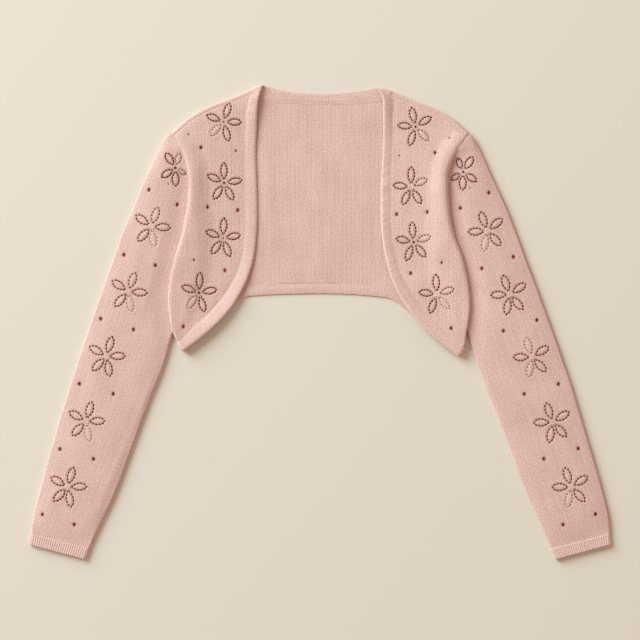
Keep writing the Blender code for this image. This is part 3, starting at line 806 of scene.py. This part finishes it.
def makeBand(side):
    sign = sideSign[side]
    stations = evenStations(frontRows[side], 0, 2, frontBand["rib"] / 4)
    rows = [(*bandRow(side, t), None, (0.0, 0.0), 0.0) for t in stations]
    top, tip = rows[0][:2], rows[-1][:2]
    rolls = frontBand["rollSteps"]
    for k in range(1, rolls + 1):
        rows.insert(0, (*top, shoulderNormal(side), frontBand["shoulderWrap"][side], k / rolls))
        rows.append((*tip, tipNormal(side), frontBand["tipWrap"], k / rolls))
    rollStart, rollFall = frontBand["edgeRoll"]
    table = []
    link = []
    along = 0.0
    before = None
    for (seam, seamZ), (free, edgeZ), outward, wraps, rolled in rows:
        line = []
        inward = (free - seam).normalized()
        for share in frontBand["shares"]:
            point = seam.lerp(free, share)
            z = blend(seamZ, edgeZ, share)
            crown = bandCrown(share)
            if share > rollStart:
                crown -= rollFall * (1 - sqrt(1 - ((share - rollStart) / (1 - rollStart)) ** 2))
            z += crown * (1 - rolled)
            if outward:
                reach, edgeShare, bulge, lean = wraps
                heading = (outward * (1 - 0.4 * lean * share ** 2) + inward * lean * share ** 2).normalized()
                squash = blend(1.0, edgeShare, share ** 3) + bulge * sin(pi * share)
                point, z = rollPoint(point, z, heading, reach, squash, rolled)
            if not share:
                along += (Vector((point.x, point.y, z)) - before).length if before else 0.0
                before = Vector((point.x, point.y, z))
                link.append(Vector((sign * point.x, point.y, z + 0.03)))
            z += ribHeight(share, along) * (1 - rolled)
            line.append((sign * point.x, point.y, z, share * frontBand["width"], along, 1.0))
        table.append(line)
    bm = startPiece(table, linkTable(link[rolls:-rolls]))
    piece = finishPiece(bm, side + "Band", ["band_" + side], [edgingFinish], cloth["bandShell"])


sleevePart = {
    "topColumns": 70,
    "foldColumns": 6,
    "underColumns": 8,
    "rowStep": 1.36,
    "height": 5.6,
    "puff": 2.6,            # how far the upper side swells above its folds
    "capRows": 6,
    "capClear": 0.8,
    "capRaise": (1.5, 1.3, 26.0),   # last row at the front's height, rows to fade, width of the slope
    "petal": 9.2,
    "reach": (25.6, 27.6),
    "grain": 19.0,          # degrees that the stitches lean from the centre line
    "frontFade": (2, 26),   # how far beside a front the sleeve starts to rise, and over what width
    "endFade": (1.3, 1.5),  # rows over which it falls again at the cuff and at the shoulder
    "puffCurve": 3.2,
    "foldFade": 6,
    "uneven": (30, 0.3),
    "creases": {
        "right": ((-222, 140, -262, 30, 9, 0.45), (-196, 92, -236, -20, 9, -0.45),
                  (-262, 20, -318, -120, 10, 0.4), (-300, -60, -350, -190, 12, -0.35),
                  (-250, -150, -300, -262, 5, 0.5), (-214, -60, -246, -150, 6, 0.45),
                  (-330, -200, -372, -268, 10, 0.35)),
        "left": ((218, 140, 256, 36, 9, 0.4), (188, 110, 206, 30, 8, -0.6),
                 (262, 20, 316, -120, 10, 0.4), (300, -70, 350, -200, 12, -0.35),
                 (254, -150, 300, -262, 5, 0.5), (216, -60, 248, -150, 6, 0.45),
                 (330, -190, 370, -262, 10, 0.35)),
    },
    "flowers": {
        "right": (
            (-190.1, 202.2, (123, 72, -32, -89, 215), 3.6, {1: 0.5}, 23.6, 20.1, 16.2, 24.6, 22.2),
            (-221.5, 124.7, (71, -3, -81, 227, 144), 0.0, {0: 0.8, 2: 0.45}),
            (-252.1, 39.2, (69, -4, -80, 228, 146), 0.0, {0: 0.8, 2: 0.45}),
            (-280.8, -45.9, (73, 1, -80, 226, 150), 0.0, {}),
            (-307.7, -131.5, (73, 1, -80, 226, 150), 0.0, {2: 0.5}),
            (-331.8, -217.8, (73, 1, -80, 226, 150), 0.0, {}),
        ),
        "left": (
            (188.4, 196.9, (112, 56, -36, -91, 214), 3.6, {}, 19.8, 23.9, 22.3, 24.6, 19.0),
            (220.3, 118.9, (109, 39, -47, 261, 183), 0.0, {3: 0.5}),
            (250.0, 35.4, (109, 34, -49, 260, 182), 0.0, {}),
            (279.6, -46.9, (108, 32, -47, 260, 181), 0.0, {0: 0.6, 3: 0.5}),
            (306.5, -132.7, (108, 32, -47, 260, 181), 0.0, {}),
            (330.8, -217.8, (108, 32, -47, 260, 181), 0.0, {3: 0.5}),
        ),
    },
    "eyelets": {
        "right": ((-225.3, 173.4), (-188.0, 153.9), (-258.1, 87.8), (-216.3, 73.8),
                  (-288.8, 3.6), (-245.1, -10.7), (-316.7, -82.1), (-271.8, -95.4),
                  (-342.4, -168.0), (-297.7, -181.0), (-365.4, -254.1), (-323.3, -267.4),
                  (-199.5, 181.0, 0.4)),
        "left": ((222.6, 169.5), (184.7, 149.3), (255.0, 85.1), (213.0, 69.6),
                 (286.0, 1.7), (241.6, -12.4), (314.3, -82.4), (269.0, -95.4),
                 (340.3, -167.2), (294.8, -180.8), (363.0, -253.8), (320.1, -267.7),
                 (197.6, 176.0, 0.4)),
    },
}
sleeveHeads = ("outerOut", "outerUp", "innerOut", "innerUp")
capOuter = {
    "right": ((198.3, 247.6), (207, 239), (217, 220), (226, 199), (237, 173), (247, 148), (256, 127)),
    "left": ((198.3, 246.4), (206, 237), (214, 220), (224, 197), (236, 171), (247, 147), (255, 126)),
}
lowerSleeve = {
    "right": (
        (263, 110, 157, 100), (271, 88, 163, 70), (281, 60, 174, 32), (297, 15, 192.5, -13),
        (314, -35, 207, -60), (331, -88, 227, -110), (348, -143, 247, -164), (364, -201, 269, -224),
        (378, -255, 293, -275), (381.5, -279.5, 303.5, -299.5),
    ),
    "left": (
        (262, 108, 159, 98), (270, 86, 165, 67), (280, 60, 176, 29), (297, 14, 193.5, -14),
        (315, -36, 209, -61), (333, -89, 228, -112), (350, -146, 249, -167), (367, -203, 271, -225),
        (380, -254, 294, -276), (382.5, -279.5, 304, -299.5),
    ),
}
capHeights = ((3.9,), (4.8,), (5.5,), (5.6,))


def sleeveRows(side):
    rows = []
    for i, outer in enumerate(capOuter[side]):
        inner = armholeAt(side, i)
        rows.append((*outer, inner.x + cloth["gap"] / 2, inner.y))
    return rows + list(lowerSleeve[side])


def foldEdgeAt(side, up):
    # how far out a front reaches at this height, so that the sleeve under it stays low
    line = [row[4:6] for row in frontRows[side]]
    line.append((line[-1][0] - 60, line[-1][1] - 30))
    for (upperOut, upperUp), (lowerOut, lowerUp) in zip(line, line[1:]):
        if up >= lowerUp:
            return blend(lowerOut, upperOut, min((up - lowerUp) / (upperUp - lowerUp), 1.0))
    return line[-1][0]


def sleeveSection(side, t, rows):
    # the whole way round: from the armhole or inner fold over the top, round the outer fold and under
    height = sleevePart["height"] if t >= len(capHeights) - 1 else rowAt(capHeights, t)[0]
    row = tableAt(sleeveHeads, rows, t)
    outer, inner = pointIn(row, "outer"), pointIn(row, "inner")
    if t <= sleevePart["capRows"]:
        clear = cloth["gap"] / 2 + sleevePart["capClear"] * max(1 - t, 0.0)
        inner = armholeAt(side, t) + Vector((clear, 0.0))
    across = (inner - outer).normalized()
    width = (inner - outer).length
    closed = smoothStep(t - sleevePart["capRows"])
    half = cloth["panelWall"] / 2
    radius = height / 2 - half
    top = height - half
    inset = radius + half
    far = width - inset
    bend = max(closed, 0.001) / radius
    reach = blend(inset, pi / 2 * radius, closed)
    grain = radians(sleevePart["grain"])
    sign = sideSign[side]
    creases = sleevePart["creases"][side]
    cuffFade, tipFade = sleevePart["endFade"]
    endFade = smoothStep((len(rows) - 1 - t) / cuffFade) * smoothStep(t / tipFade)
    clearance, fadeWidth = sleevePart["frontFade"]
    lastRaised, fadeRows, slope = sleevePart["capRaise"]
    raised = 1 - smoothStep((t - lastRaised) / fadeRows)
    if raised:
        raised *= tableAt(heightHeads, heightRows, min(t, 4.0))["foldZ"] - 0.9 - top
    points = []

    def add(a, z, around, isTop):
        plan = outer + across * a
        unfolded = outer + across * around
        x, y = sign * plan.x, plan.y
        if isTop:
            beyond = plan.x - foldEdgeAt(side, y)
            free = smoothStep((beyond - clearance) / fadeWidth) * endFade
            share = (a - inset) / (far - inset)
            if raised:
                z += raised * (1 - smoothStep(beyond / slope)) * smoothStep((beyond + 2.5) / 2)
            z += sleevePart["puff"] * free * (1 - abs(2 * share - 1) ** sleevePart["puffCurve"])
            fade = free * smoothStep(min(a - inset, far - a) / sleevePart["foldFade"] + 0.25)
            z += fade * (creaseHeight(creases, x, y) + unevenness(x, y, *sleevePart["uneven"]))
        u = sign * (unfolded.x * cos(grain) + unfolded.y * sin(grain))
        v = unfolded.y * cos(grain) - unfolded.x * sin(grain)
        points.append((x, y, z, u, v, isTop))

    bends = sleevePart["foldColumns"]
    innerBend = []
    for k in range(1, bends + 1):
        s = reach * k / bends
        innerBend.append((s, far + sin(bend * s) / bend, (1 - cos(bend * s)) / bend))
    for s, a, turn in reversed(innerBend):
        add(a, top - turn, far + s, 0.0)
    columns = sleevePart["topColumns"]
    for k in range(columns, -1, -1):
        a = blend(inset, far, k / columns)
        add(a, top, a, 1.0)
    for k in range(1, 2 * bends):
        angle = pi * k / (2 * bends)
        a = inset - radius * sin(angle)
        add(a, top - radius + radius * cos(angle), inset - radius * angle, 0.0)
    under = sleevePart["underColumns"]
    turned = inset - radius * pi
    for k in range(under + 1):
        a = blend(inset, far, k / under)
        add(a, half, turned - (a - inset), 0.0)
    for s, a, turn in innerBend:
        add(a, half + turn, turned - (far - inset) - s, 0.0)
    return points


def makeSleeve(side):
    rows = sleeveRows(side)
    stations = evenStations(rows, 0, 2, sleevePart["rowStep"])
    bm = startPiece([sleeveSection(side, t, rows) for t in stations])
    pins = pointelle(bm, sleevePart, side)
    nodes = ["sleeve_" + side + "_upper", "sleeve_" + side + "_under"]
    piece = finishPiece(bm, side + "Sleeve", nodes, [knitFinish, insideShadeFinish], merge=0.03, pins=pins)


cuff = {
    "ribs": 25,
    "relief": 0.55,
    "steps": 6,             # points on each rib
    "rows": 12,
    "height": 5.6,
    "wall": 1.5,
    "foldSteps": 8,
    "length": 21.0,
    "sink": 0.15,
    "end": {"right": (384, -293.5, 309, -313.5), "left": (384, -293.5, 310, -313.5)},
}


def cuffEnds(row):
    row = dict(zip(sleeveHeads, row))
    return pointIn(row, "outer"), pointIn(row, "inner")


def makeCuff(side):
    sign = sideSign[side]
    outerStart, innerStart = cuffEnds(lowerSleeve[side][-1])
    outerEnd, innerEnd = cuffEnds(cuff["end"][side])
    ribSteps = cuff["ribs"] * cuff["steps"]
    folds = cuff["foldSteps"]
    radius = (cuff["height"] - cuff["wall"]) / 2
    low = cuff["wall"] / 2
    edge = radius + low
    table = []
    for j in range(cuff["rows"] + 1):
        share = j / cuff["rows"]
        outer = outerStart.lerp(outerEnd, share)
        inner = innerStart.lerp(innerEnd, share)
        across = (inner - outer).normalized()
        down = Vector((across.y, -across.x))
        if down.y > 0:
            down = -down
        shift = down * cloth["gap"] * (1 - share)
        width = (inner - outer).length
        line = []

        def add(a, z, along):
            plan = outer + across * a + shift
            line.append((sign * plan.x, plan.y, z, along, share * cuff["length"], 1.0))

        def addFold(a, turn, along):
            for k in range(1, folds):
                angle = pi * (turn + k / folds)
                add(a + radius * sin(angle), low + radius + radius * cos(angle), along + k)

        for k in range(ribSteps + 1):
            f = k / ribSteps
            a = blend(edge, width - edge, f)
            rib = cuff["relief"] * (0.5 - 0.5 * cos(2 * pi * cuff["ribs"] * f))
            add(a, low + 2 * radius + rib - cuff["sink"], a)
        addFold(width - edge, 0, width)
        for k in range(ribSteps // 2 + 1):
            f = k / (ribSteps // 2)
            add(blend(width - edge, edge, f), low, width + folds + f * width)
        addFold(edge, 1, 2 * width + folds)
        line.append(line[0])
        table.append(line)
    bm = startPiece(table)
    piece = finishPiece(bm, side + "Cuff", ["cuff_" + side], [edgingFinish, insideShadeFinish], merge=0.03)


backPanel = {
    "shoulderColumns": 44,
    "neckColumns": 60,
    "rowStep": 2.6,
    "rollColumns": 9,
    "edgeFade": 14,
    "uneven": (34, 0.12),
    "lowest": -0.2,
    "creases": ((-70, 250, -64, 90, 9, 0.4), (66, 240, 58, 100, 9, 0.35), (-20, 270, -26, 190, 12, 0.3),
                (-40, 70, 30, 64, 7, 0.35), (30, 150, 36, 66, 12, 0.3), (0, 284, 0, 50, 1.6, 0.22)),
}
neckRows = (
    (-77.5, 310.8, -90.8, 301.6), (-73.5, 311.4, -85.0, 296.0), (-67.0, 310.2, -75.0, 291.3),
    (-58.0, 307.3, -61.0, 289.5), (-37.0, 303.0, -37.5, 288.2), (0.0, 300.5, 0.0, 286.6),
    (37.0, 302.4, 38.0, 287.2), (60.5, 305.7, 64.0, 288.8), (70.0, 308.2, 79.0, 290.3),
    (77.0, 308.4, 89.5, 294.5), (81.5, 307.6, 94.8, 299.6),
)
hemRows = (
    (-178.3, -21.5, -171.5, -32.5), (-159.0, -4.0, -151.0, -13.0), (-139.5, 17.5, -130.5, 7.0),
    (-120.5, 35.0, -111.5, 26.0), (-104.0, 43.5, -99.5, 32.3), (-84.5, 47.0, -83.5, 34.7),
    (-52.8, 48.2, -52.8, 36.3), (0.0, 48.8, 0.0, 37.4), (39.6, 48.2, 39.6, 36.3),
    (76.6, 46.5, 76.6, 33.3), (97.0, 42.5, 92.0, 30.5), (117.0, 30.5, 106.5, 22.0),
    (137.0, 12.5, 126.0, 4.0), (160.0, -9.5, 151.0, -18.5), (181.3, -28.5, 174.5, -39.5),
)


def frontHeightAtSeam(side, u):
    points = frontSection(side, 0.0)[:frontPanel["topColumns"] + 1]
    spot = (1 - u) * frontPanel["topColumns"]
    i = min(int(spot), frontPanel["topColumns"] - 1)
    return blend(points[i][2], points[i + 1][2], spot - i)


def shoulderRoll(side, u, share, top):
    # share 0 on the ground, 1 at the shoulder seam
    seam = shoulderSeam(side, u)
    outward = shoulderNormal(side)
    radius = (top - cloth["floor"]) / 2
    run = shoulder["wrap"] - radius - cloth["panelWall"] / 2
    arc = pi * radius
    gone = share * (arc + run - shoulder["wrapGap"])
    if gone < arc:
        angle = pi - gone / radius
        go, z = run + radius * sin(angle), top - radius + radius * cos(angle)
    else:
        go, z = run - (gone - arc), top
    if share == 1.0:
        z -= shoulder["groove"] * smoothStep((1 - u) / shoulder["grooveFade"])
    point = seam + outward * go
    return point, z, seam + outward * (run + arc / 2 + (0.5 - share) * (arc + run))


def wrapStop(k):
    return blend(shoulder["first"], shoulder["last"], k / backPanel["shoulderColumns"])


def edgingSeam(rows, u, seamSide):
    # the back's edge under an edging, whose seam is the first or the second point of a row
    row = rowAt(rows, u * (len(rows) - 1))
    ends = Vector(row[0:2]), Vector(row[2:4])
    seam, free = ends[seamSide], ends[1 - seamSide]
    return seam + (seam - free).normalized() * cloth["gap"]


def backTop(k, tops):
    count, neck = backPanel["shoulderColumns"], backPanel["neckColumns"]
    if count < k < count + neck:
        return edgingSeam(neckRows, (k - count) / neck, 1)
    side, k = ("right", k) if k <= count else ("left", 2 * count + neck - k)
    point = shoulderRoll(side, wrapStop(k), 0.0, tops[side][k])[0]
    return Vector((sideSign[side] * point.x, point.y))


def backEdge(side, t):
    point = armholeAt(side, t)
    return Vector((sideSign[side] * (point.x - cloth["gap"] / 2), point.y))


def makeBack():
    count = backPanel["shoulderColumns"]
    columns = 2 * count + backPanel["neckColumns"] + 1
    tops = {side: [frontHeightAtSeam(side, wrapStop(k)) for k in range(count + 1)] for side in sideSign}
    stations = evenStations(frontRows["right"], 6, 6, backPanel["rowStep"])
    top = [backTop(k, tops) for k in range(columns)]
    bottom = [edgingSeam(hemRows, k / (columns - 1), 0) for k in range(columns)]
    rightEdge = [backEdge("right", t) for t in stations]
    leftEdge = [backEdge("left", t) for t in stations]
    rightEdge[0], leftEdge[0] = top[0], top[-1]
    rightEdge[-1], leftEdge[-1] = bottom[0], bottom[-1]
    table = []
    rows = len(stations)
    for j in range(rows):
        v = j / (rows - 1)
        line = []
        for i in range(columns):
            u = i / (columns - 1)
            point = top[i].lerp(bottom[i], v) + rightEdge[j].lerp(leftEdge[j], u)
            point -= top[0].lerp(bottom[0], v).lerp(top[-1].lerp(bottom[-1], v), u)
            edge = smoothStep(min(u, 1 - u, v, 1 - v) * backPanel["edgeFade"])
            rise = creaseHeight(backPanel["creases"], point.x, point.y)
            rise = edge * max(rise + unevenness(point.x, point.y, *backPanel["uneven"]), backPanel["lowest"])
            line.append((point.x, point.y, cloth["floor"] + rise, point.x, point.y, 1.0))
        table.append(line)
    tables = [table]
    for side, sign in sideSign.items():
        grid = []
        for j in range(backPanel["rollColumns"] + 1):
            line = []
            for k in range(count + 1):
                point, z, flat = shoulderRoll(side, wrapStop(k), j / backPanel["rollColumns"], tops[side][k])
                line.append((sign * point.x, point.y, z, sign * flat.x, flat.y, 1.0))
            grid.append(line)
        tables.append(grid)
    piece = finishPiece(startPiece(*tables), "backPanel", ["back_panel"], [knitFinish], merge=0.04)


def makeEdging(name, node, rows, seamSide):
    # flat edging with ribs across it, along the neck or the hem
    stations = evenStations(rows, 0, 2, frontBand["rib"] / 4)
    table = []
    link = []
    along = 0.0
    before = None
    for t in stations:
        row = rowAt(rows, t)
        start, end = Vector(row[0:2]), Vector(row[2:4])
        middle = (start + end) / 2
        along += (middle - before).length if before else 0.0
        before = middle
        line = []
        for share in frontBand["shares"]:
            point = start.lerp(end, share)
            z = cloth["bandWall"] / 2 - 0.1 + bandCrown(share) + ribHeight(share, along)
            line.append((point.x, point.y, z, share * 14.0, along, 1.0))
        table.append(line)
        seam = (start, end)[seamSide]
        link.append(Vector((seam.x, seam.y, cloth["bandWall"] / 2 - 0.05)))
    bm = startPiece(table, linkTable(link))
    piece = finishPiece(bm, name, [node], [edgingFinish], cloth["bandShell"])


makeBack()
print("back made")
makeEdging("neckEdging", "band_neck", neckRows, 1)
makeEdging("hemEdging", "band_hem", hemRows, 0)
for side in sideSign:
    makeFront(side)
    makeBand(side)
    print(side, "front made")
    makeSleeve(side)
    makeCuff(side)
    print(side, "sleeve made")


studio = {                  # in metres
    "groundSize": 14.0,
    "groundDrop": 0.0002,
    "ground": {"Base Color": (0.790, 0.706, 0.587, 1.0), "Roughness": 0.95, "Specular IOR Level": 0.1},
    "sky": {"Color": (1.0, 0.79, 0.67, 1.0), "Strength": 0.515},
    "keyPlace": (-5.5, 4.4, 3.5),
    "key": {"shape": "DISK", "size": 5.4, "energy": 965.0, "color": (0.723, 0.897, 0.99)},
    "cameraHeight": 2.4,
    "viewWidth": 0.8448,
    "viewMiddle": (0.0, 0.002),
}


def makeStudio():
    bm = bmesh.new()
    bmesh.ops.create_grid(bm, x_segments=1, y_segments=1, size=studio["groundSize"] / 2)
    for vert in bm.verts:
        vert.co.z = -studio["groundDrop"]
    floor = addMesh(bm, "floor", [startMaterial("paleGround", studio["ground"])[0]])
    world = bpy.data.worlds.new("softRoom")
    world.use_nodes = True
    setInputs(world.node_tree.nodes["Background"], studio["sky"])
    bpy.context.scene.world = world
    lamp = withValues(bpy.data.lights.new("windowLight", "AREA"), **studio["key"])
    turn = (-Vector(studio["keyPlace"])).to_track_quat("-Z", "Y")
    withValues(addObject("windowLight", lamp), location=studio["keyPlace"], rotation_mode="QUATERNION",
               rotation_quaternion=turn)
    lens = bpy.data.cameras.new("camera")
    lens.lens = lens.sensor_width * studio["cameraHeight"] / studio["viewWidth"]
    camera = addObject("camera", lens)
    camera.location = (*studio["viewMiddle"], studio["cameraHeight"])
    bpy.context.scene.camera = camera


makeStudio()
bpy.context.scene.view_settings.view_transform = "Standard"
print("studio made")
